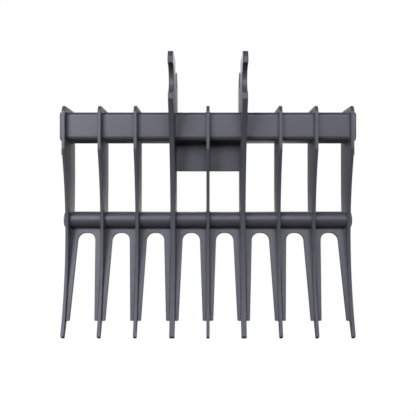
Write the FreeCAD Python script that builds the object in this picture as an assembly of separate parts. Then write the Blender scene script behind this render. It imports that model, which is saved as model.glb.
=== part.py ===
import FreeCAD, Part
import math
import os

from FreeCAD import Vector

# Excavator rake: nine curved plate tines on a square and a round cross tube,
# joined low down by eight arched comb plates. Two thicker tines rise as ears
# with a hook in front and a saddle behind, by which a coupler carries the rake.
#
# Millimetres. +X runs to the right seen from the front, +Y backwards, +Z up.
# The origin is the centre of the hook seat, midway between the ears.
# Levels called DROP are measured down from the hook's centre, and places
# called SETBACK are measured backwards from it.

# Spacing across the rake
TINE_THICKNESS = 16.0
EAR_THICKNESS = 25.0
EAR_SPACING = 348.0  # middle of one ear to middle of the other
SIDE_GAP = 158.0  # clear gap between neighbours outside the ears
SIDE_TINES = 3  # plain tines outside each ear

# Square top tube
TOP_TUBE_SIZE = 140.0
TOP_TUBE_WALL = 10.0
TOP_TUBE_CORNER = 22.0
TOP_TUBE_SETBACK = 207.0
TOP_TUBE_DROP = 201.5
TOP_TUBE_OVERHANG = 16.5  # how far its closed end stands past the outermost tine

# Round lower tube
LOWER_TUBE_DIAMETER = 82.5
LOWER_TUBE_WALL = 8.0
LOWER_TUBE_DROP = 661.0
LOWER_TUBE_OVERHANG = 12.5

# End caps
CAP_THICKNESS = 8.0
CAP_CHAMFER = 2.0

# Head of a tine, around the top tube
HEAD_COVER = 26.0  # plate left in front of, above and behind the tube
HEAD_CHAMFER_DEPTH = 17.0
HEAD_CHAMFER_HEIGHT = 24.0
HEAD_REAR_ROUND = 6.0

# Front edge of a tine: two arcs that meet at the hollow
HOLLOW_DROP = 722.0
HOLLOW_DEPTH = 65.0  # how far the hollow lies behind the head's front
LOWER_FRONT_RADIUS = 1450.0

# Rear edge and tip of a tine
REAR_CURVE_DROP = 452.0  # where the straight rear edge starts to curve forwards
TIP_DROP = 1218.0
TIP_WIDTH = 26.8
TIP_CUT_ANGLE = 33.0  # the cut end slopes down and backwards

# Hook in front of an ear
HOOK_RADIUS = 68.0
HOOK_LIP_SETBACK = 14.0  # the lower lip's face
HOOK_LIP_LENGTH = 27.0  # the lower lip's straight face, from the mouth to the tine's front arc
HOOK_LIP_OVERHANG = 10.0  # the upper lip reaches this far ahead of the centre
UPPER_LIP_HEIGHT = 32.0
UPPER_LIP_LEAN = 7.0
BROW_DEPTH = 20.0
BROW_HEIGHT = 28.0

# Saddle and horn behind the hook
SADDLE_RADIUS = 50.0
SADDLE_SETBACK = 247.0
SADDLE_RISE = 56.0
SHOULDER_LEAD = 73.0  # the ear's top ends this far ahead of the saddle's centre
SHOULDER_ROUND = 20.0
HORN_RISE = 46.0  # above the saddle's centre
HORN_TOP_WIDTH = 13.0
HORN_SLOPE_DEPTH = 53.0
HORN_SLOPE_DROP = 64.0
HORN_ROUND = 3.0
EAR_CORNER_ROUND = 4.0
EAR_REAR_FOOT_DROP = 142.0  # the ear's straight rear edge ends here

# Comb plates
COMB_THICKNESS = 15.0
COMB_BEHIND_AXIS = 20.0  # their middle plane passes this far behind the tube's axis
COMB_DROP = 1152.0  # lower end of the legs
CROWN_BELOW_TUBE = 25.75  # from the lower tube's underside to the top of the arch
CROWN_HALF_WIDTH = 42.3
CROWN_ROUND = 40.0
LEG_WIDTH = 18.0  # at the lower end
LEG_ROUND = 6.0

# Brace plates under the top tube
BRACE_THICKNESS = 20.0
BRACE_HEIGHT = 143.5

# Bare plates on the outermost tines
BLANK_PLATE_LENGTH = 90.0
BLANK_PLATE_HEIGHT = 38.0
BLANK_PLATE_THICKNESS = 5.0
BLANK_PLATE_DROP = 325.0
BLANK_PLATE_INSET = 14.0  # behind the head's front edge
RIVET_DIAMETER = 5.0
RIVET_HEAD_DIAMETER = 10.0
RIVET_HEAD_HEIGHT = 2.5
RIVET_DEPTH = 10.0  # how far the shank goes into the tine
RIVET_END_MARGIN = 11.0

# Working values
EDGE_CHAMFER = 1.5
WELD_GAP = 0.3  # around each tube in its hole
RIVET_CLEARANCE = 0.15
OVERSHOOT = 1.0  # how far a cutting shape runs past what it cuts
TOLERANCE = 1e-6


def point(x, y, z):
    """A point in the rake's frame."""
    return Vector(x, y, z)


def rounded_edges(corners, place, closed):
    """Straight edges through corners of (u, v, round radius), with tangent arcs at the rounded ones.

    `place` turns (u, v) into a point in space. The first and last corners of an open path stay sharp.
    """
    count = len(corners)
    stops = []
    for i, (u, v, radius) in enumerate(corners):
        here = Vector(u, v, 0)
        ends = not closed and i in (0, count - 1)
        if radius <= 0 or ends:
            stops.append((here, None, here))
            continue
        before = Vector(*corners[i - 1][:2], 0)
        after = Vector(*corners[(i + 1) % count][:2], 0)
        back = (before - here).normalize()
        ahead = (after - here).normalize()
        half_angle = back.getAngle(ahead) / 2
        reach = radius / math.tan(half_angle)
        bisector = (back + ahead).normalize()
        middle = here + bisector * (radius / math.sin(half_angle) - radius)
        stops.append((here + back * reach, middle, here + ahead * reach))
    edges = []
    for i, (arrive, middle, leave) in enumerate(stops):
        if middle is not None:
            arc = Part.Arc(*[place(p.x, p.y) for p in (arrive, middle, leave)])
            edges.append(arc.toShape())
        if closed or i < count - 1:
            following = stops[(i + 1) % count][0]
            edges.append(Part.makeLine(place(leave.x, leave.y), place(following.x, following.y)))
    return edges


def side_point(y, z):
    """A point of a tine's outline, drawn in the plane x = 0."""
    return point(0, y, z)


def arc_between(centre, radius, start, end):
    """Edge of a circle in the side plane, the short way from start to end."""
    middle = (start + end) * 0.5 - centre
    return Part.Arc(start, centre + middle.normalize() * radius, end).toShape()


# Outline of a tine, worked out from the sizes above

HEAD_FRONT = TOP_TUBE_SETBACK - TOP_TUBE_SIZE / 2 - HEAD_COVER
HEAD_REAR = TOP_TUBE_SETBACK + TOP_TUBE_SIZE / 2 + HEAD_COVER
HEAD_TOP = -TOP_TUBE_DROP + TOP_TUBE_SIZE / 2 + HEAD_COVER
TUBE_UNDERSIDE = -TOP_TUBE_DROP - TOP_TUBE_SIZE / 2

HOLLOW = side_point(HEAD_FRONT + HOLLOW_DEPTH, -HOLLOW_DROP)
LIP_TOP = side_point(HOOK_LIP_SETBACK, -math.sqrt(HOOK_RADIUS**2 - HOOK_LIP_SETBACK**2))
LIP_FOOT = LIP_TOP - side_point(0, HOOK_LIP_LENGTH)


def radius_through(end, vertical_at):
    """Radius of the arc through both points that is vertical at the second one."""
    run = end - vertical_at
    return (run.y**2 + run.z**2) / (2 * abs(run.y))


UPPER_FRONT_RADIUS = radius_through(LIP_FOOT, HOLLOW)
UPPER_CENTRE = HOLLOW - side_point(UPPER_FRONT_RADIUS, 0)
LOWER_CENTRE = HOLLOW - side_point(LOWER_FRONT_RADIUS, 0)


def on_front_arc(centre, radius, z):
    """Point of a front arc at level z."""
    return side_point(centre.y + math.sqrt(radius**2 - (z - centre.z) ** 2), z)


def level_of_front_arc(y):
    """Level at which the upper front arc reaches the setback y."""
    return UPPER_CENTRE.z + math.sqrt(UPPER_FRONT_RADIUS**2 - (y - UPPER_CENTRE.y) ** 2)


TIP_FRONT = on_front_arc(LOWER_CENTRE, LOWER_FRONT_RADIUS, -TIP_DROP)
TIP_CUT = math.radians(TIP_CUT_ANGLE)
TIP_REAR = TIP_FRONT + side_point(math.cos(TIP_CUT), -math.sin(TIP_CUT)) * TIP_WIDTH

# The rear arc leaves the straight rear edge at a tangent and ends at the tip.
REAR_START = side_point(HEAD_REAR, -REAR_CURVE_DROP)
REAR_RADIUS = radius_through(TIP_REAR, REAR_START)
REAR_CENTRE = REAR_START - side_point(REAR_RADIUS, 0)


def middle_of_tine(z):
    """Setback halfway between the front and the rear edge at level z, below the head."""
    if z > -HOLLOW_DROP:
        front = on_front_arc(UPPER_CENTRE, UPPER_FRONT_RADIUS, z).y
    else:
        front = on_front_arc(LOWER_CENTRE, LOWER_FRONT_RADIUS, z).y
    rear = on_front_arc(REAR_CENTRE, REAR_RADIUS, z).y
    return (front + rear) / 2


LOWER_TUBE_Y = middle_of_tine(-LOWER_TUBE_DROP)


# Places across the rake

CENTRE_FACE = TINE_THICKNESS / 2
EAR_X = EAR_SPACING / 2
EAR_INNER_FACE = EAR_X - EAR_THICKNESS / 2
EAR_OUTER_FACE = EAR_X + EAR_THICKNESS / 2
SIDE_PITCH = SIDE_GAP + TINE_THICKNESS
SIDE_X = [EAR_OUTER_FACE + SIDE_GAP + TINE_THICKNESS / 2 + i * SIDE_PITCH for i in range(SIDE_TINES)]
OUTER_FACE = EAR_OUTER_FACE + SIDE_TINES * SIDE_PITCH


def lower_edges():
    """Front edge below the hollow, the cut tip and the rear arc, from the hollow to the rear edge."""
    return [
        arc_between(LOWER_CENTRE, LOWER_FRONT_RADIUS, HOLLOW, TIP_FRONT),
        Part.makeLine(TIP_FRONT, TIP_REAR),
        arc_between(REAR_CENTRE, REAR_RADIUS, TIP_REAR, REAR_START),
    ]


def plain_outline():
    """Closed outline of a plain tine."""
    foot_level = level_of_front_arc(HEAD_FRONT)
    foot = side_point(HEAD_FRONT, foot_level)
    head = [
        (HEAD_REAR, -REAR_CURVE_DROP, 0),
        (HEAD_REAR, HEAD_TOP, HEAD_REAR_ROUND),
        (HEAD_FRONT + HEAD_CHAMFER_DEPTH, HEAD_TOP, 0),
        (HEAD_FRONT, HEAD_TOP - HEAD_CHAMFER_HEIGHT, 0),
        (HEAD_FRONT, foot_level, 0),
    ]
    edges = lower_edges() + rounded_edges(head, side_point, closed=False)
    edges.append(arc_between(UPPER_CENTRE, UPPER_FRONT_RADIUS, foot, HOLLOW))
    return Part.Wire(Part.__sortEdges__(edges))


def saddle_tangent(corner_y, corner_z):
    """Where a line from the ear's top corner touches the front of the saddle's circle."""
    across = corner_y - SADDLE_SETBACK
    up = corner_z - SADDLE_RISE
    distance = math.hypot(across, up)
    angle = math.atan2(up, across) + math.acos(SADDLE_RADIUS / distance)
    return SADDLE_SETBACK + SADDLE_RADIUS * math.cos(angle), SADDLE_RISE + SADDLE_RADIUS * math.sin(angle)


def ear_outline():
    """Closed outline of an ear tine, with its hook, saddle and horn."""
    hook_crown = side_point(0, HOOK_RADIUS)
    hook_back = side_point(HOOK_RADIUS, 0)

    brow_level = HOOK_RADIUS + UPPER_LIP_HEIGHT
    brow_y = UPPER_LIP_LEAN - HOOK_LIP_OVERHANG
    ear_top = brow_level + BROW_HEIGHT
    shoulder_y = SADDLE_SETBACK - SHOULDER_LEAD
    saddle_front = saddle_tangent(shoulder_y, ear_top)
    crest = [
        (0, HOOK_RADIUS, 0),
        (-HOOK_LIP_OVERHANG, HOOK_RADIUS, 0),
        (brow_y, brow_level, EAR_CORNER_ROUND),
        (brow_y + BROW_DEPTH, ear_top, EAR_CORNER_ROUND),
        (shoulder_y, ear_top, SHOULDER_ROUND),
        (*saddle_front, 0),
    ]

    horn_y = SADDLE_SETBACK + SADDLE_RADIUS
    horn_top = SADDLE_RISE + HORN_RISE
    rear_y = horn_y + HORN_TOP_WIDTH + HORN_SLOPE_DEPTH
    horn = [
        (horn_y, SADDLE_RISE, 0),
        (horn_y, horn_top, HORN_ROUND),
        (horn_y + HORN_TOP_WIDTH, horn_top, HORN_ROUND),
        (rear_y, horn_top - HORN_SLOPE_DROP, EAR_CORNER_ROUND),
        (rear_y, -EAR_REAR_FOOT_DROP, EAR_CORNER_ROUND),
        (HEAD_REAR, TUBE_UNDERSIDE - BRACE_HEIGHT, EAR_CORNER_ROUND),
        (HEAD_REAR, -REAR_CURVE_DROP, 0),
    ]

    saddle_start = side_point(*saddle_front)
    saddle_bottom = side_point(SADDLE_SETBACK, SADDLE_RISE - SADDLE_RADIUS)
    edges = lower_edges()
    edges.append(arc_between(UPPER_CENTRE, UPPER_FRONT_RADIUS, LIP_FOOT, HOLLOW))
    edges.append(Part.makeLine(LIP_FOOT, LIP_TOP))
    edges.append(Part.Arc(LIP_TOP, hook_back, hook_crown).toShape())
    edges += rounded_edges(crest, side_point, closed=False)
    edges.append(Part.Arc(saddle_start, saddle_bottom, side_point(horn_y, SADDLE_RISE)).toShape())
    edges += rounded_edges(horn, side_point, closed=False)
    return Part.Wire(Part.__sortEdges__(edges))


def square_section(size, corner, x):
    """Face of a square with rounded corners around the top tube's axis, at x."""
    half = size / 2
    corners = [(-half, -half, corner), (half, -half, corner), (half, half, corner), (-half, half, corner)]

    def place(u, v):
        return point(x, TOP_TUBE_SETBACK + u, v - TOP_TUBE_DROP)

    return Part.Face(Part.Wire(rounded_edges(corners, place, closed=True)))


def square_bar(size, corner, x_from, x_to):
    """Solid bar along X around the top tube's axis."""
    return square_section(size, corner, x_from).extrude(point(x_to - x_from, 0, 0))


def round_bar(radius, x_from, x_to):
    """Solid cylinder along X around the lower tube's axis."""
    start = point(x_from, LOWER_TUBE_Y, -LOWER_TUBE_DROP)
    return Part.makeCylinder(radius, x_to - x_from, start, point(1, 0, 0))


def rim_at(blank, *levels):
    """Edges of a solid that lie wholly at one of the given places along X."""
    return [e for e in blank.Edges if any(all(abs(v.X - x) < TOLERANCE for v in e.Vertexes) for x in levels)]


def tine_plate(outline, thickness, x_middle):
    """A tine cut from plate, its outline edges eased and its two tube holes opened."""
    blank = Part.Face(outline).extrude(point(thickness, 0, 0))
    plate = blank.makeChamfer(EDGE_CHAMFER, rim_at(blank, 0, thickness))
    plate.translate(point(x_middle - thickness / 2, 0, 0))
    x_from = x_middle - thickness
    x_to = x_middle + thickness
    top_hole = square_bar(TOP_TUBE_SIZE + 2 * WELD_GAP, TOP_TUBE_CORNER + WELD_GAP, x_from, x_to)
    lower_hole = round_bar(LOWER_TUBE_DIAMETER / 2 + WELD_GAP, x_from, x_to)
    return plate.cut(top_hole).cut(lower_hole)


def top_tube():
    """Square hollow section through all the tines, without its caps."""
    end = OUTER_FACE + TOP_TUBE_OVERHANG - CAP_THICKNESS
    outside = square_bar(TOP_TUBE_SIZE, TOP_TUBE_CORNER, -end, end)
    inside = square_bar(TOP_TUBE_SIZE - 2 * TOP_TUBE_WALL, TOP_TUBE_CORNER - TOP_TUBE_WALL, -end, end)
    return outside.cut(inside)


def lower_tube():
    """Round hollow section through all the tines, without its caps."""
    end = OUTER_FACE + LOWER_TUBE_OVERHANG - CAP_THICKNESS
    radius = LOWER_TUBE_DIAMETER / 2
    return round_bar(radius, -end, end).cut(round_bar(radius - LOWER_TUBE_WALL, -end, end))


def eased_cap(blank, outer_x):
    """A cap with the rim of its outer face chamfered."""
    return blank.makeChamfer(CAP_CHAMFER, rim_at(blank, outer_x))


def top_cap(side):
    """Plate that closes the top tube; side is -1 on the left and +1 on the right."""
    outer_x = OUTER_FACE + TOP_TUBE_OVERHANG
    blank = square_bar(TOP_TUBE_SIZE, TOP_TUBE_CORNER, outer_x - CAP_THICKNESS, outer_x)
    return on_side(eased_cap(blank, outer_x), side)


def lower_cap(side):
    """Disc that closes the lower tube."""
    outer_x = OUTER_FACE + LOWER_TUBE_OVERHANG
    blank = round_bar(LOWER_TUBE_DIAMETER / 2, outer_x - CAP_THICKNESS, outer_x)
    return on_side(eased_cap(blank, outer_x), side)


def on_side(shape, side):
    """The shape itself on the right, or its mirror image on the left."""
    return shape if side > 0 else shape.mirror(point(0, 0, 0), point(1, 0, 0))


# Middle plane of the comb plates: behind the lower tube's axis, and through the
# middle of the tines at the legs' lower end

TUBE_AXIS = side_point(LOWER_TUBE_Y, -LOWER_TUBE_DROP)
LEG_END = side_point(middle_of_tine(-COMB_DROP), -COMB_DROP)
COMB_RUN = LEG_END - TUBE_AXIS
COMB_LEAN = math.atan2(-COMB_RUN.y, -COMB_RUN.z) + math.asin(COMB_BEHIND_AXIS / COMB_RUN.Length)
COMB_DOWN = side_point(-math.sin(COMB_LEAN), -math.cos(COMB_LEAN))
COMB_FORWARD = side_point(-math.cos(COMB_LEAN), math.sin(COMB_LEAN))
COMB_FOOT = TUBE_AXIS - COMB_FORWARD * COMB_BEHIND_AXIS


def comb_plate(x_from, x_to):
    """Arched plate between two tines, coped to the lower tube along its top edge."""
    middle = (x_from + x_to) / 2
    half_gap = (x_to - x_from) / 2
    rear_offset = COMB_BEHIND_AXIS + COMB_THICKNESS / 2
    top = math.sqrt((LOWER_TUBE_DIAMETER / 2) ** 2 - rear_offset**2)
    crown_level = -LOWER_TUBE_DROP - LOWER_TUBE_DIAMETER / 2 - CROWN_BELOW_TUBE
    crown = (COMB_FOOT.z - crown_level) / math.cos(COMB_LEAN)
    bottom = (LEG_END - COMB_FOOT).dot(COMB_DOWN)
    half_mouth = half_gap - LEG_WIDTH
    corners = [
        (-half_gap, top, 0),
        (half_gap, top, 0),
        (half_gap, bottom, 0),
        (half_mouth, bottom, LEG_ROUND),
        (CROWN_HALF_WIDTH, crown, CROWN_ROUND),
        (-CROWN_HALF_WIDTH, crown, CROWN_ROUND),
        (-half_mouth, bottom, LEG_ROUND),
        (-half_gap, bottom, 0),
    ]
    start = COMB_FOOT - COMB_FORWARD * (COMB_THICKNESS / 2) + point(middle, 0, 0)
    outline = rounded_edges(corners, lambda u, v: start + COMB_DOWN * v + point(u, 0, 0), closed=True)
    blank = Part.Face(Part.Wire(outline)).extrude(COMB_FORWARD * COMB_THICKNESS)
    rims = []
    for edge in blank.Edges:
        along = edge.valueAt(edge.LastParameter) - edge.valueAt(edge.FirstParameter)
        lies_in_a_face = abs(along.dot(COMB_FORWARD)) < TOLERANCE
        below_crown = (edge.CenterOfMass - COMB_FOOT).dot(COMB_DOWN) > crown - TOLERANCE
        inside_gap = abs(edge.CenterOfMass.x - middle) < half_gap - TOLERANCE
        if lies_in_a_face and below_crown and inside_gap:
            rims.append(edge)
    plate = blank.makeChamfer(EDGE_CHAMFER, rims)
    return plate.cut(round_bar(LOWER_TUBE_DIAMETER / 2 + WELD_GAP, x_from - OVERSHOOT, x_to + OVERSHOOT))


def brace_plate(side):
    """Plate under the top tube from the centre tine to an ear, at the rear of the tube's flat."""
    rear = TOP_TUBE_SETBACK + TOP_TUBE_SIZE / 2 - TOP_TUBE_CORNER
    width = EAR_INNER_FACE - CENTRE_FACE
    corner = point(CENTRE_FACE, rear - BRACE_THICKNESS, TUBE_UNDERSIDE - BRACE_HEIGHT)
    blank = Part.makeBox(width, BRACE_THICKNESS, BRACE_HEIGHT, corner)
    low = corner.z + TOLERANCE
    lower = [e for e in blank.Edges if e.BoundBox.ZMax < low and e.BoundBox.XLength > width / 2]
    return on_side(blank.makeChamfer(EDGE_CHAMFER, lower), side)


def rivet_places():
    """Setbacks of the two rivets of a bare plate."""
    front = HEAD_FRONT + BLANK_PLATE_INSET
    return [front + RIVET_END_MARGIN, front + BLANK_PLATE_LENGTH - RIVET_END_MARGIN]


def rivet_hole(y, x_from, x_to):
    """Cylinder along X that a rivet's shank passes through."""
    radius = RIVET_DIAMETER / 2 + RIVET_CLEARANCE
    return Part.makeCylinder(radius, x_to - x_from, point(x_from, y, -BLANK_PLATE_DROP), point(1, 0, 0))


def blank_plate(side):
    """Bare plate on the outer face of the outermost tine, with two rivet holes."""
    start = point(OUTER_FACE, HEAD_FRONT + BLANK_PLATE_INSET, -BLANK_PLATE_DROP - BLANK_PLATE_HEIGHT / 2)
    blank = Part.makeBox(BLANK_PLATE_THICKNESS, BLANK_PLATE_LENGTH, BLANK_PLATE_HEIGHT, start)
    outer_x = OUTER_FACE + BLANK_PLATE_THICKNESS
    plate = blank.makeChamfer(EDGE_CHAMFER, rim_at(blank, outer_x))
    for y in rivet_places():
        plate = plate.cut(rivet_hole(y, OUTER_FACE - OVERSHOOT, outer_x + OVERSHOOT))
    return on_side(plate, side)


def rivet(y):
    """Dome-headed drive rivet on the right-hand plate."""
    right = point(1, 0, 0)
    seat = point(OUTER_FACE + BLANK_PLATE_THICKNESS, y, -BLANK_PLATE_DROP)
    length = RIVET_DEPTH + BLANK_PLATE_THICKNESS
    shank = Part.makeCylinder(RIVET_DIAMETER / 2, length, seat - right * length, right)
    half = RIVET_HEAD_DIAMETER / 2
    dome_radius = (half**2 + RIVET_HEAD_HEIGHT**2) / (2 * RIVET_HEAD_HEIGHT)
    ball = Part.makeSphere(dome_radius, seat + right * (RIVET_HEAD_HEIGHT - dome_radius))
    outside_plate = Part.makeCylinder(half + OVERSHOOT, RIVET_HEAD_HEIGHT + OVERSHOOT, seat, right)
    return shank.fuse(ball.common(outside_plate)).removeSplitter()


def rivets(side):
    """Both rivets of one bare plate."""
    return Part.makeCompound([on_side(rivet(y), side) for y in rivet_places()])


def drilled(tine):
    """The right-hand outermost tine with the blind holes for its rivets."""
    for y in rivet_places():
        tine = tine.cut(rivet_hole(y, OUTER_FACE - RIVET_DEPTH - RIVET_CLEARANCE, OUTER_FACE + OVERSHOOT))
    return tine


def build():
    """All the pieces by node name."""
    pieces = {"top_tube": top_tube(), "lower_tube": lower_tube()}
    pieces["tine_centre"] = tine_plate(plain_outline(), TINE_THICKNESS, 0)
    for name, side in (("left", -1), ("right", 1)):
        pieces[f"ear_tine_{name}"] = on_side(tine_plate(ear_outline(), EAR_THICKNESS, EAR_X), side)
        for i, x in enumerate(SIDE_X):
            tine = tine_plate(plain_outline(), TINE_THICKNESS, x)
            if i == SIDE_TINES - 1:
                tine = drilled(tine)
            pieces[f"tine_{name}_{i + 1}"] = on_side(tine, side)
        gaps = [(CENTRE_FACE, EAR_INNER_FACE)]
        gaps += [(x - TINE_THICKNESS / 2 - SIDE_GAP, x - TINE_THICKNESS / 2) for x in SIDE_X]
        for i, (x_from, x_to) in enumerate(gaps):
            pieces[f"comb_plate_{name}_{i + 1}"] = on_side(comb_plate(x_from, x_to), side)
        pieces[f"top_tube_cap_{name}"] = top_cap(side)
        pieces[f"lower_tube_cap_{name}"] = lower_cap(side)
        pieces[f"brace_plate_{name}"] = brace_plate(side)
        pieces[f"blank_plate_{name}"] = blank_plate(side)
        pieces[f"plate_rivets_{name}"] = rivets(side)
    return pieces


os.makedirs("parts", exist_ok=True)
for node, shape in build().items():
    shape.exportStep(f"parts/{node}.step")
    print(node, "valid" if shape.isValid() else "NOT VALID", round(shape.Volume))
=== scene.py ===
"""Excavator rake: paint, weld beads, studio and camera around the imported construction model.

Metres, in the model's own frame: +X to the right seen from the front, +Y backwards, +Z up, with
the origin at the centre of the hook seat. The rake is one body, so everything rides on root.
"""

import logging
import math
from dataclasses import dataclass, field
from enum import Enum
from typing import Any, Union

import bpy
import numpy as np
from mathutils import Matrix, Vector


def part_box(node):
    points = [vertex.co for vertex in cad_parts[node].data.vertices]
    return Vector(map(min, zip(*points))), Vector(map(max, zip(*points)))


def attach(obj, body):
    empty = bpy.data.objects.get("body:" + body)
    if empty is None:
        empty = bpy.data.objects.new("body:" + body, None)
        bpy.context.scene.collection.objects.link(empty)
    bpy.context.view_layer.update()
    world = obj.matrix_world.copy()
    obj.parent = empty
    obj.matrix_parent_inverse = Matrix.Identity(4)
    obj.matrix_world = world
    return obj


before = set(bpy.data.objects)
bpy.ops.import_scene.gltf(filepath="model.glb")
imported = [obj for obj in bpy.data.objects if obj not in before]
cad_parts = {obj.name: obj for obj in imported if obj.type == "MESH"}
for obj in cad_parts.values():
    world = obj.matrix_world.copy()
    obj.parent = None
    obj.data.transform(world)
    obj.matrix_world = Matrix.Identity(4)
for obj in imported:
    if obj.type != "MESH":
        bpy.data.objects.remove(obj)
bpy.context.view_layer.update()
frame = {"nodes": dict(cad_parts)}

log = logging.getLogger("rake")

MM = 0.001
SIDES = {"left": -1, "right": 1}
GAPS_PER_SIDE = 4
MOSTLY = 0.8  # a face looks forwards if its normal's part along -Y is larger
Number = Union[int, float]
Array = np.ndarray


class Slot(Enum):
    """Material slots of the record."""

    PAINT = "paint"


# Shader maths


class Graph:
    """One material's or world's node tree, filled through a single method."""

    def __init__(self, tree: bpy.types.NodeTree) -> None:
        """Empties the tree."""
        self.tree = tree
        self.tree.nodes.clear()

    def node(
        self, kind: str, settings: dict[str, Any] | None = None, **inputs: Any
    ) -> bpy.types.Node:
        """Adds a node.

        Args:
            kind: The node's type, such as "ShaderNodeTexNoise".
            settings: Properties of the node, set before its inputs.
            inputs: Values or links by input name, with underscores for spaces.

        Returns:
            The new node.
        """
        made = self.tree.nodes.new(kind)
        for name, value in (settings or {}).items():
            setattr(made, name, value)
        for name, value in inputs.items():
            self.feed(made.inputs[name.replace("_", " ")], value)
        return made

    def feed(self, target: bpy.types.NodeSocket, value: Any) -> None:
        """Links a Value or a socket into an input, or sets the input to a constant."""
        if isinstance(value, Value):
            value = value.socket
        if isinstance(value, bpy.types.NodeSocket):
            self.tree.links.new(value, target)
        else:
            target.default_value = value

    def value(self, socket: bpy.types.NodeSocket) -> "Value":
        """Wraps an output so that Python operators work on it."""
        return Value(self, socket)

    def noise(
        self, coordinates: Any, scale: Number, detail: Number = 3.0, roughness: Number = 0.6
    ) -> "Value":
        """Fractal noise from 0 to 1.

        Args:
            coordinates: A vector socket in metres.
            scale: Features per metre.
            detail: Octaves.
            roughness: Share that each octave keeps.

        Returns:
            The noise's factor.
        """
        made = self.node(
            "ShaderNodeTexNoise", Vector=coordinates, Scale=scale, Detail=detail, Roughness=roughness
        )
        return self.value(made.outputs["Fac"])


@dataclass(frozen=True)
class Value:
    """A number that varies over a surface. Its operators add Math nodes."""

    graph: Graph
    socket: bpy.types.NodeSocket

    def math(self, operation: str, *others: "Value | Number", clamp: bool = False) -> "Value":
        """Adds one Math node on this value and the others, in order."""
        made = self.graph.node("ShaderNodeMath", {"operation": operation, "use_clamp": clamp})
        for target, value in zip(made.inputs, (self, *others)):
            self.graph.feed(target, value)
        return Value(self.graph, made.outputs[0])

    def reflected(self, operation: str, first: Number) -> "Value":
        """Adds one Math node with a plain number in front of this value."""
        made = self.graph.node("ShaderNodeMath", {"operation": operation})
        self.graph.feed(made.inputs[0], first)
        self.graph.feed(made.inputs[1], self)
        return Value(self.graph, made.outputs[0])

    def __add__(self, other: "Value | Number") -> "Value":
        """Sum."""
        return self.math("ADD", other)

    def __radd__(self, other: Number) -> "Value":
        """Sum, with the number first."""
        return self.reflected("ADD", other)

    def __sub__(self, other: "Value | Number") -> "Value":
        """Difference."""
        return self.math("SUBTRACT", other)

    def __rsub__(self, other: Number) -> "Value":
        """Difference, with the number first."""
        return self.reflected("SUBTRACT", other)

    def __mul__(self, other: "Value | Number") -> "Value":
        """Product."""
        return self.math("MULTIPLY", other)

    def __rmul__(self, other: Number) -> "Value":
        """Product, with the number first."""
        return self.reflected("MULTIPLY", other)

    def __truediv__(self, other: "Value | Number") -> "Value":
        """Quotient."""
        return self.math("DIVIDE", other)

    def __abs__(self) -> "Value":
        """Absolute value."""
        return self.math("ABSOLUTE")

    def smooth_step(self, low: Number, high: Number) -> "Value":
        """Goes smoothly from 0 at low to 1 at high, and backwards where low is the larger."""
        share = ((self - low) / (high - low)).math("MULTIPLY", 1.0, clamp=True)
        return share * share * (3.0 - 2.0 * share)


# Finishes


@dataclass(frozen=True)
class SatinPaint:
    """Satin blue-grey machine paint over blasted plate.

    The tone drifts slowly over a plate, the film has a fine orange-peel ripple, and the thermally
    cut edges keep their faint lines across the plate's thickness.
    """

    name: str
    colour: tuple[float, float, float]
    roughness: float = 0.49
    metallic: float = 0.5
    drift: float = 0.045  # largest relative change of tone
    drift_gloss: float = 0.06  # change of roughness over the same waves
    drift_scale: float = 5.0  # features per metre, as for the other scales
    mottle: float = 0.05
    mottle_gloss: float = 0.12
    mottle_scale: float = 90.0
    peel_scale: float = 330.0
    peel_height: float = 0.04 * MM
    peel_share: float = 0.6
    cut_scale: float = 420.0
    cut_height: float = 0.04 * MM
    cut_share: float = 0.5
    cut_stretch: float = 0.04  # along X, across a tine's thickness
    cut_sides: tuple[float, float] = (0.5, 0.2)  # a normal's X where the lines begin and are full

    def material(self) -> bpy.types.Material:
        """Builds the paint as a Blender material.

        Returns:
            The material, with its pattern on Object coordinates.
        """
        made = bpy.data.materials.new(self.name)
        made.use_nodes = True
        graph = Graph(made.node_tree)
        place = graph.node("ShaderNodeTexCoord")
        where = place.outputs["Object"]
        drift = graph.noise(where, self.drift_scale, roughness=0.5) - 0.5
        mottle = graph.noise(where, self.mottle_scale) - 0.5
        shade = 1.0 + drift * (2 * self.drift) + mottle * (2 * self.mottle)
        tinted = graph.node("ShaderNodeVectorMath", {"operation": "SCALE"}, Scale=shade)
        tinted.inputs[0].default_value = self.colour
        rough = self.roughness + mottle * self.mottle_gloss + drift * self.drift_gloss

        facing = graph.node("ShaderNodeSeparateXYZ", Vector=place.outputs["Normal"])
        on_cut_edge = abs(graph.value(facing.outputs["X"])).smooth_step(*self.cut_sides)
        squeezed = graph.node("ShaderNodeMapping", {"vector_type": "POINT"}, Vector=where)
        squeezed.inputs["Scale"].default_value = (self.cut_stretch, 1.0, 1.0)
        lines = graph.noise(squeezed.outputs["Vector"], self.cut_scale, detail=2.0) * on_cut_edge
        peel = graph.noise(where, self.peel_scale, detail=1.0, roughness=0.5)
        film = graph.node(
            "ShaderNodeBump", Strength=self.peel_share, Distance=self.peel_height, Height=peel
        )
        cut = graph.node(
            "ShaderNodeBump", Strength=self.cut_share, Distance=self.cut_height, Height=lines,
            Normal=film.outputs["Normal"],
        )
        skin = graph.node(
            "ShaderNodeBsdfPrincipled", Base_Color=tinted.outputs["Vector"], Roughness=rough,
            Metallic=self.metallic, Normal=cut.outputs["Normal"],
        )
        graph.node("ShaderNodeOutputMaterial", Surface=skin.outputs["BSDF"])
        return made


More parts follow.
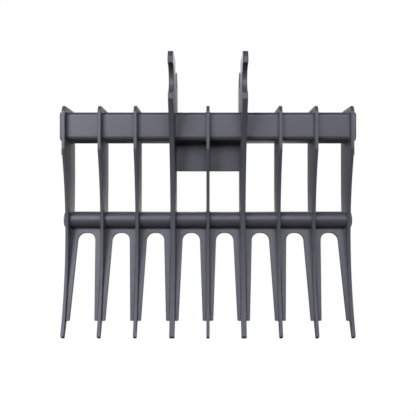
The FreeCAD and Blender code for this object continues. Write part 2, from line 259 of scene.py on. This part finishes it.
@dataclass(frozen=True)
class Finishes:
    """The rake's two materials."""

    paint: bpy.types.Material
    bare_mark: bpy.types.Material

    @classmethod
    def mixed(cls) -> "Finishes":
        """Mixes both finishes from their recipes."""
        paint = SatinPaint("satin_paint", colour=(0.155, 0.155, 0.19))
        mark = SatinPaint("mark_paint", colour=(0.135, 0.135, 0.165), roughness=0.42, cut_share=0.0)
        return cls(paint.material(), mark.material())

    def dress(self, nodes: dict[str, bpy.types.Object]) -> None:
        """Puts a finish on every construction node.

        Args:
            nodes: The frame's objects by node name.
        """
        for name, obj in nodes.items():
            marked = name.startswith(("blank_plate", "plate_rivets"))
            material = self.bare_mark if marked else self.paint
            for slot in obj.material_slots:
                slot.material = material
            if not obj.material_slots:
                obj.data.materials.append(material)


# Weld beads


@dataclass(frozen=True)
class Seam:
    """The line that a bead follows, as arrays of one row per step along it.

    The bead's section is drawn from each point: one toe lies along first, the other along second,
    and the crown stands out along outward.
    """

    points: Array
    first: Array
    second: Array
    outward: Array
    closed: bool

    @classmethod
    def straight(cls, start: Array, end: Array, first: Array, second: Array, step: float) -> "Seam":
        """Seam along a straight corner between two plates.

        Args:
            start: One end of the corner line.
            end: The other end.
            first: Unit vector away from the corner in the first surface.
            second: Unit vector away from the corner in the second surface.
            step: Distance between rows.

        Returns:
            The seam, open at both ends.
        """
        run = end - start
        count = max(2, round(float(np.linalg.norm(run)) / step))
        points = start + np.linspace(0, 1, count + 1)[:, None] * run
        out = (first + second) / np.linalg.norm(first + second)
        directions = (np.broadcast_to(vector, points.shape) for vector in (first, second, out))
        return cls(points, *directions, closed=False)


@dataclass(frozen=True)
class Bead:
    """A weld bead laid by hand: even, slightly crowned, with fine crescent ripples."""

    leg: float = 3.5 * MM
    crown: float = 0.5 * MM
    ripple: float = 0.16 * MM
    spacing: float = 4.5 * MM
    skew: float = 0.45  # how far a ripple's middle lags behind its toes, in spacings
    sink: float = 1.0 * MM  # how deep the hidden root lies in the corner
    taper: float = 6.0 * MM  # length over which an open end fades in
    end_size: float = 0.05  # smallest share of the taper, so that an end isn't a point
    steps_per_ripple: int = 4
    section_points: int = 7
    wander: float = 0.05

    @property
    def step(self) -> float:
        """Distance between the rows of a bead."""
        return self.spacing / self.steps_per_ripple

    def sizes_along(self, seam: Seam, distance: Array, length: float, phase: float) -> Array:
        """Relative size of the section at each row.

        The size wanders by three slow waves that close on themselves, and an open end
        fades in as the square root of the distance to it.
        """
        turn = 2 * math.pi * distance / length
        waves = np.sin(3 * turn + phase) + np.sin(7 * turn + 2 * phase) + np.sin(13 * turn + 3 * phase)
        size = 1 + self.wander / 3 * waves
        if not seam.closed:
            to_end = np.minimum(distance, length - distance)
            size = size * np.sqrt(np.clip(to_end / self.taper, self.end_size, 1.0))
        return size

    def sweep(self, seam: Seam, phase: float) -> tuple[Array, list[list[int]]]:
        """Carries the bead's section along a seam.

        A point of the section is the straight line from toe to toe, raised towards the outward
        side by a parabola that is highest at its middle. Ripples add the absolute value of a sine
        of the distance along the seam, delayed towards the middle of the section.

        Args:
            seam: The line to follow.
            phase: Sets this bead's own slow waves.

        Returns:
            The vertices, and the faces as lists of indices.
        """
        rows = len(seam.points)
        following = np.roll(seam.points, -1, axis=0) if seam.closed else seam.points[1:]
        gaps = np.linalg.norm(following - seam.points[: len(following)], axis=1)
        distance = np.concatenate([[0.0], np.cumsum(gaps)])[:rows]
        length = float(gaps.sum())
        size = self.sizes_along(seam, distance, length, phase)[:, None]

        share = np.linspace(0, 1, self.section_points)[None, :]
        hump = 4 * share * (1 - share)
        ripples = max(1, round(length / self.spacing))
        beat = math.pi * ripples * distance[:, None] / length - math.pi * self.skew * hump
        raised = self.crown * hump * size + self.ripple * np.abs(np.sin(beat)) * np.sqrt(hump) * size
        reach = self.leg * size
        skin = (
            seam.points[:, None, :]
            + seam.first[:, None, :] * (reach * (1 - share))[..., None]
            + seam.second[:, None, :] * (reach * share)[..., None]
            + seam.outward[:, None, :] * raised[..., None]
        )
        root = seam.points - seam.outward * self.sink
        vertices = np.concatenate([skin, root[:, None, :]], axis=1)

        ring = self.section_points + 1
        row = np.arange(rows if seam.closed else rows - 1)[:, None]
        col = np.arange(ring)[None, :]
        here = row * ring + col
        beside = row * ring + (col + 1) % ring
        ahead = (row + 1) % rows * ring
        quads = np.stack([here, beside, ahead + (col + 1) % ring, ahead + col], axis=-1).reshape(-1, 4)
        faces = quads.tolist()
        if not seam.closed:
            faces.append(list(range(ring))[::-1])
            faces.append(list(range((rows - 1) * ring, rows * ring)))
        return vertices.reshape(-1, 3), faces


def signed_volume(vertices: Array, faces: list[list[int]]) -> float:
    """Volume inside a closed mesh, by fans of tetrahedra from the origin.

    Args:
        vertices: One row per vertex.
        faces: Lists of indices.

    Returns:
        The volume, negative if the faces point in.
    """
    total = 0.0
    by_size: dict[int, list[list[int]]] = {}
    for face in faces:
        by_size.setdefault(len(face), []).append(face)
    for size, group in by_size.items():
        corners = vertices[np.array(group)]
        for i in range(1, size - 1):
            crossed = np.cross(corners[:, i], corners[:, i + 1])
            total += float(np.einsum("ij,ij->", corners[:, 0], crossed)) / 6
    return total


@dataclass
class WeldRun:
    """One piece made of all the beads of a kind."""

    name: str
    bead: Bead
    seams: list[Seam] = field(default_factory=list)

    def build(self, material: bpy.types.Material) -> bpy.types.Object:
        """Sweeps every seam into one mesh, with all faces pointing out.

        Args:
            material: The finish of the beads.

        Returns:
            The piece, riding on the rake.
        """
        all_vertices: list[Array] = []
        all_faces: list[list[int]] = []
        offset = 0
        for i, seam in enumerate(self.seams):
            vertices, faces = self.bead.sweep(seam, phase=1.7 * i)
            if signed_volume(vertices - vertices.mean(axis=0), faces) < 0:
                faces = [face[::-1] for face in faces]
            all_vertices.append(vertices)
            all_faces += [[offset + index for index in face] for face in faces]
            offset += len(vertices)
        mesh = bpy.data.meshes.new(self.name)
        mesh.from_pydata(np.concatenate(all_vertices).tolist(), [], all_faces)
        mesh.polygons.foreach_set("use_smooth", np.ones(len(mesh.polygons), bool))
        mesh.materials.append(material)
        obj = bpy.data.objects.new(self.name, mesh)
        bpy.context.scene.collection.objects.link(obj)
        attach(obj, "root")
        log.info("%s: %d seams, %d faces", self.name, len(self.seams), len(all_faces))
        return obj


# Places of the construction's pieces


def box_of(node: str) -> tuple[Array, Array]:
    """Lowest and highest corner of a node, as arrays."""
    low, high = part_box(node)
    return np.array(low), np.array(high)


def tine_names() -> list[str]:
    """Every tine and ear tine."""
    plain = [f"tine_{side}_{i}" for side in SIDES for i in (1, 2, 3)]
    return ["tine_centre", *plain, *(f"ear_tine_{side}" for side in SIDES)]


def tine_faces() -> list[tuple[float, int]]:
    """Both faces of every tine.

    Returns:
        The place of each face along X, and the direction that it looks in, -1 or 1.
    """
    faces = []
    for name in tine_names():
        low, high = box_of(name)
        faces += [(float(low[0]), -1), (float(high[0]), 1)]
    return faces


def node_points(node: str) -> Array:
    """The vertices of a construction node."""
    mesh = frame["nodes"][node].data
    flat = np.empty(len(mesh.vertices) * 3)
    mesh.vertices.foreach_get("co", flat)
    return flat.reshape(-1, 3)


@dataclass(frozen=True)
class RoundTube:
    """The lower tube, by its axis and radius."""

    centre: Array
    radius: float

    @classmethod
    def found(cls) -> "RoundTube":
        """Reads the tube from its node."""
        low, high = box_of("lower_tube")
        return cls((low + high) / 2, float(high[2] - low[2]) / 2)

    def ring(self, x: float, looks: int, step: float) -> Seam:
        """Seam around the tube at a tine's face.

        A point is the axis plus the radius times the unit circle in the side plane.

        Args:
            x: The face's place.
            looks: The direction that the face looks in.
            step: Distance between rows.
        """
        count = round(2 * math.pi * self.radius / step)
        angle = 2 * math.pi * np.arange(count) / count
        radial = np.stack([np.zeros(count), np.cos(angle), np.sin(angle)], axis=1)
        points = np.array([x, self.centre[1], self.centre[2]]) + self.radius * radial
        return ring_seam(points, radial, looks)


@dataclass(frozen=True)
class SquareTube:
    """The top tube, by its axis, size and corner radius."""

    centre: Array
    half: float
    corner: float

    @classmethod
    def found(cls) -> "SquareTube":
        """Reads the tube from its node: the corner starts where the flat underside ends."""
        low, high = box_of("top_tube")
        points = node_points("top_tube")
        underside = points[points[:, 2] < low[2] + 0.01 * MM]
        centre = (low + high) / 2
        half = float(high[2] - low[2]) / 2
        return cls(centre, half, half - float(underside[:, 1].max() - centre[1]))

    def outline(self, step: float) -> tuple[Array, Array]:
        """Points around the tube and their outward directions, in the plane x = 0.

        The corner arcs' centre goes round a smaller square while the outward direction stands
        still, and stands still while the direction turns through a right angle.

        Args:
            step: Distance between points.

        Returns:
            The points and the unit vectors.
        """
        flat = 2 * (self.half - self.corner)
        arc = math.pi / 2 * self.corner
        stops = np.concatenate([[0.0], np.cumsum([flat, arc] * 4)])
        angles = math.pi / 2 * np.array([0, 0, 1, 1, 2, 2, 3, 3, 4])
        inner = self.half - self.corner
        corner_y = inner * np.array([1, 1, 1, -1, -1, -1, -1, 1, 1])
        corner_z = inner * np.array([-1, 1, 1, 1, 1, -1, -1, -1, -1])
        count = round(stops[-1] / step)
        along = stops[-1] * np.arange(count) / count
        angle = np.interp(along, stops, angles)
        radial = np.stack([np.zeros(count), np.cos(angle), np.sin(angle)], axis=1)
        core_y, core_z = np.interp(along, stops, corner_y), np.interp(along, stops, corner_z)
        core = np.stack([np.zeros(count), core_y, core_z], axis=1)
        place = np.array([0.0, self.centre[1], self.centre[2]])
        return place + core + self.corner * radial, radial

    def ring(self, x: float, looks: int, step: float) -> Seam:
        """Seam around the tube at a tine's face, as for the round tube."""
        points, radial = self.outline(step)
        return ring_seam(points + np.array([x, 0, 0]), radial, looks)


def ring_seam(points: Array, radial: Array, looks: int) -> Seam:
    """Closed fillet seam around a tube where it passes through a plate.

    Args:
        points: The corner line.
        radial: Unit vectors away from the tube's axis, which lie in the plate's face.
        looks: The direction that the plate's face looks in.
    """
    along = np.broadcast_to(np.array([float(looks), 0, 0]), points.shape)
    return Seam(points, radial, along, (radial + along) / math.sqrt(2), closed=True)


def flat_seam(points: Array, radial: Array) -> Seam:
    """Closed butt seam around a tube, where a cap closes it."""
    along = np.broadcast_to(np.array([1.0, 0, 0]), points.shape)
    return Seam(points, along, -along, radial, closed=True)


@dataclass(frozen=True)
class LeaningPlate:
    """A comb plate, by the directions and offsets of its faces, read from its node."""

    low: Array
    high: Array
    down: Array
    forward: Array
    front: float  # offset of the front face along forward
    rear: float
    bottom: float  # offset of the legs' ends along down

    @classmethod
    def found(cls, node: str) -> "LeaningPlate":
        """Finds the two flat faces by the largest total area of triangles that share a direction."""
        mesh = frame["nodes"][node].data
        mesh.calc_loop_triangles()
        count = len(mesh.loop_triangles)
        corners = np.empty(count * 3, int)
        mesh.loop_triangles.foreach_get("vertices", corners)
        points = node_points(node)
        a, b, c = (points[corners.reshape(-1, 3)[:, i]] for i in range(3))
        crossed = np.cross(b - a, c - a)
        area = np.linalg.norm(crossed, axis=1)
        faces_front = crossed[:, 1] < -MOSTLY * area
        forward = crossed[faces_front & (area > 0)].sum(axis=0)
        forward = np.array([0.0, forward[1], forward[2]]) / np.linalg.norm(forward[1:])
        down = np.array([0.0, forward[2], -forward[1]])
        down = down if down[2] < 0 else -down
        low, high = box_of(node)
        offsets = points @ forward
        front, rear = float(offsets.max()), float(offsets.min())
        return cls(low, high, down, forward, front, rear, bottom=float((points @ down).max()))

    def point(self, x: float, out: float, along: float) -> Array:
        """The point at x with the given offsets along forward and down."""
        return np.array([x, 0.0, 0.0]) + out * self.forward + along * self.down

    def seams(self, tube: RoundTube, step: float) -> list[Seam]:
        """The fillets along both sides and along the tube, on the front and on the rear face.

        Args:
            tube: The lower tube, which the plate's top edge is coped to.
            step: Distance between rows.

        Returns:
            Six seams.
        """
        seams = []
        across = float(tube.centre @ self.forward)
        level = float(tube.centre @ self.down)
        for out, away in ((self.front, self.forward), (self.rear, -self.forward)):
            aside = out - across
            drop = math.sqrt(tube.radius**2 - aside**2)
            tangent = self.forward * drop - self.down * aside
            tangent = tangent / np.linalg.norm(tangent)
            tangent = tangent if tangent @ away > 0 else -tangent
            top = level + drop
            start = self.point(float(self.low[0]), out, top)
            end = self.point(float(self.high[0]), out, top)
            seams.append(Seam.straight(start, end, self.down, tangent, step))
            for x, inwards in ((float(self.low[0]), 1.0), (float(self.high[0]), -1.0)):
                start = self.point(x, out, top)
                end = self.point(x, out, self.bottom)
                seams.append(Seam.straight(start, end, np.array([inwards, 0, 0]), away, step))
        return seams


def brace_seams(node: str, step: float) -> list[Seam]:
    """The fillets of a brace plate: along the tube's underside and down both tines, front and rear."""
    low, high = box_of(node)
    seams = []
    for y, away in ((low[1], np.array([0.0, -1.0, 0.0])), (high[1], np.array([0.0, 1.0, 0.0]))):
        down = np.array([0.0, 0.0, -1.0])
        start, end = np.array([low[0], y, high[2]]), np.array([high[0], y, high[2]])
        seams.append(Seam.straight(start, end, down, away, step))
        for x, inwards in ((low[0], 1.0), (high[0], -1.0)):
            start, end = np.array([x, y, high[2]]), np.array([x, y, low[2]])
            seams.append(Seam.straight(start, end, np.array([inwards, 0.0, 0.0]), away, step))
    return seams


@dataclass
class Welds:
    """All the rake's weld beads, one piece for each joint of the construction."""

    fillet: Bead = field(default_factory=Bead)
    cap_bead: Bead = field(default_factory=lambda: Bead(leg=2.6 * MM, crown=0.6 * MM, ripple=0.1 * MM))

    def build(self, material: bpy.types.Material) -> list[bpy.types.Object]:
        """Lays every bead.

        Args:
            material: The finish of the beads.

        Returns:
            The pieces.
        """
        square, round_tube = SquareTube.found(), RoundTube.found()
        step = self.fillet.step
        faces = tine_faces()
        runs = [
            WeldRun(name, self.fillet, [tube.ring(x, looks, step) for x, looks in faces])
            for name, tube in (("welds_top_tube", square), ("welds_lower_tube", round_tube))
        ]
        runs.append(WeldRun("welds_caps", self.cap_bead, self.cap_seams(square, round_tube)))
        for side in SIDES:
            combs = [LeaningPlate.found(f"comb_plate_{side}_{i + 1}") for i in range(GAPS_PER_SIDE)]
            seams = [seam for plate in combs for seam in plate.seams(round_tube, step)]
            runs.append(WeldRun(f"welds_combs_{side}", self.fillet, seams))
            seams = brace_seams(f"brace_plate_{side}", step)
            runs.append(WeldRun(f"welds_brace_{side}", self.fillet, seams))
        return [run.build(material) for run in runs]

    def cap_seams(self, square: SquareTube, round_tube: RoundTube) -> list[Seam]:
        """The butt seams around the four end caps."""
        seams = []
        step = self.cap_bead.step
        for side, sign in SIDES.items():
            for node, tube in ((f"top_tube_cap_{side}", square), (f"lower_tube_cap_{side}", round_tube)):
                low, high = box_of(node)
                x = float(low[0] if sign > 0 else high[0])
                ring = tube.ring(x, sign, step)
                seams.append(flat_seam(ring.points, ring.first))
        return seams


# Studio and camera

NEUTRAL = (1.0, 1.0, 1.0)
WARM = (1.0, 0.98, 0.88)


@dataclass(frozen=True)
class Softbox:
    """A square diffuse light that looks at the rake's middle."""

    name: str
    azimuth: float  # degrees, 0 is straight in front and 90 is to the right
    elevation: float
    size: float
    strength: float
    distance: float = 5.0
    colour: tuple[float, float, float] = NEUTRAL

    def build(self, target: Array) -> bpy.types.Object:
        """Hangs the light.

        Args:
            target: The point that it looks at.

        Returns:
            The lamp, which the camera doesn't see.
        """
        turn, rise = math.radians(self.azimuth), math.radians(self.elevation)
        level = math.cos(rise)
        away = np.array([math.sin(turn) * level, -math.cos(turn) * level, math.sin(rise)])
        data = bpy.data.lights.new(self.name, "AREA")
        data.shape = "SQUARE"
        data.size = self.size
        data.energy = self.strength * math.pi * self.size**2
        data.color = self.colour
        lamp = bpy.data.objects.new(self.name, data)
        bpy.context.scene.collection.objects.link(lamp)
        place = target + self.distance * away
        lamp.location = place.tolist()
        lamp.rotation_mode = "QUATERNION"
        lamp.rotation_quaternion = Vector(away.tolist()).to_track_quat("Z", "Y")
        lamp.visible_camera = False
        return lamp


@dataclass(frozen=True)
class Studio:
    """White surroundings that the camera sees, and the soft lights.

    The key stands on the left and above, as in the photograph. Lights behind the rake give the
    pale reflections along the tines' sides, and a dim band at eye level fills the rest.
    """

    horizon: float = 0.12  # radiance at eye level, all round
    zenith: float = 0.06
    band: tuple[float, float] = (0.55, 0.1)  # sine of the elevation at the band's edge and inside
    floor_level: float = -2.6
    floor_size: float = 60.0
    floor_tone: float = 0.1  # seen only by light, not by the camera
    target: tuple[float, float, float] = (0.0, 0.15, -0.55)
    softboxes: tuple[Softbox, ...] = (
        Softbox("key", azimuth=-38, elevation=23, size=2.8, strength=5.5),
        Softbox("fill", azimuth=16, elevation=27, size=2.6, strength=3.2),
        Softbox("left_rim", azimuth=-115, elevation=5, size=2.2, strength=6.0, colour=WARM),
        Softbox("right_rim", azimuth=115, elevation=5, size=2.2, strength=10.0, colour=WARM),
        Softbox("rear_left", 187, -4, size=1.1, strength=1.6, distance=7.0, colour=WARM),
        Softbox("rear_right", 171, -4, size=1.1, strength=4.0, distance=7.0, colour=WARM),
        Softbox("rear_high", 180, 17, size=1.4, strength=3.2, distance=7.0, colour=WARM),
        Softbox("rear_fill", 180, 32, size=2.5, strength=6.0, distance=6.0),
    )

    def build(self) -> None:
        """Sets the world, the floor and the lamps."""
        world = bpy.data.worlds.new("studio")
        bpy.context.scene.world = world
        world.use_nodes = True
        graph = Graph(world.node_tree)
        place = graph.node("ShaderNodeTexCoord")
        way = graph.node("ShaderNodeSeparateXYZ", Vector=place.outputs["Generated"])
        in_band = abs(graph.value(way.outputs["Z"])).smooth_step(*self.band)
        level = self.zenith + in_band * (self.horizon - self.zenith)
        ray = graph.node("ShaderNodeLightPath")
        seen = graph.node("ShaderNodeBackground", Color=(*NEUTRAL, 1), Strength=1.0)
        light = graph.node("ShaderNodeBackground", Color=(*NEUTRAL, 1), Strength=level)
        both = graph.node("ShaderNodeMixShader", Fac=ray.outputs["Is Camera Ray"])
        graph.feed(both.inputs[1], light.outputs[0])
        graph.feed(both.inputs[2], seen.outputs[0])
        graph.node("ShaderNodeOutputWorld", Surface=both.outputs[0])
        self.floor()
        for box in self.softboxes:
            box.build(np.array(self.target))
        log.info("studio: %d softboxes", len(self.softboxes))

    def floor(self) -> bpy.types.Object:
        """Lays the pale floor, which the camera sees as white."""
        half = self.floor_size / 2
        mesh = bpy.data.meshes.new("floor")
        turns = ((-1, -1), (1, -1), (1, 1), (-1, 1))
        corners = [(x * half, y * half, self.floor_level) for x, y in turns]
        mesh.from_pydata(corners, [], [(0, 1, 2, 3)])
        material = bpy.data.materials.new("pale_floor")
        material.use_nodes = True
        graph = Graph(material.node_tree)
        ray = graph.node("ShaderNodeLightPath")
        white = graph.node("ShaderNodeEmission", Color=(*NEUTRAL, 1), Strength=1.0)
        matt = graph.node("ShaderNodeBsdfDiffuse", Color=(*[self.floor_tone] * 3, 1))
        both = graph.node("ShaderNodeMixShader", Fac=ray.outputs["Is Camera Ray"])
        graph.feed(both.inputs[1], matt.outputs[0])
        graph.feed(both.inputs[2], white.outputs[0])
        graph.node("ShaderNodeOutputMaterial", Surface=both.outputs[0])
        mesh.materials.append(material)
        obj = bpy.data.objects.new("floor", mesh)
        bpy.context.scene.collection.objects.link(obj)
        return obj


@dataclass(frozen=True)
class PhotoCamera:
    """Level camera straight in front of the rake."""

    distance: float = 2.305
    level: float = -0.602
    focal_pixels: float = 500.0
    image_pixels: float = 416.0
    sensor: float = 36.0

    def build(self) -> bpy.types.Object:
        """Places the camera and makes it the scene's."""
        data = bpy.data.cameras.new("camera")
        data.sensor_width = self.sensor
        data.lens = self.focal_pixels * self.sensor / self.image_pixels
        data.clip_end = 200.0
        camera = bpy.data.objects.new("camera", data)
        bpy.context.scene.collection.objects.link(camera)
        camera.location = (0.0, -self.distance, self.level)
        camera.rotation_euler = (math.pi / 2, 0.0, 0.0)
        bpy.context.scene.camera = camera
        return camera


def main() -> None:
    """Dresses the rake, lays its welds, and sets the studio and the camera."""
    logging.basicConfig(level=logging.INFO, format="%(name)s: %(message)s")
    bpy.context.scene.view_settings.view_transform = "Standard"
    PhotoCamera().build()
    finishes = Finishes.mixed()
    finishes.dress(frame["nodes"])
    Welds().build(finishes.paint)
    Studio().build()


main()
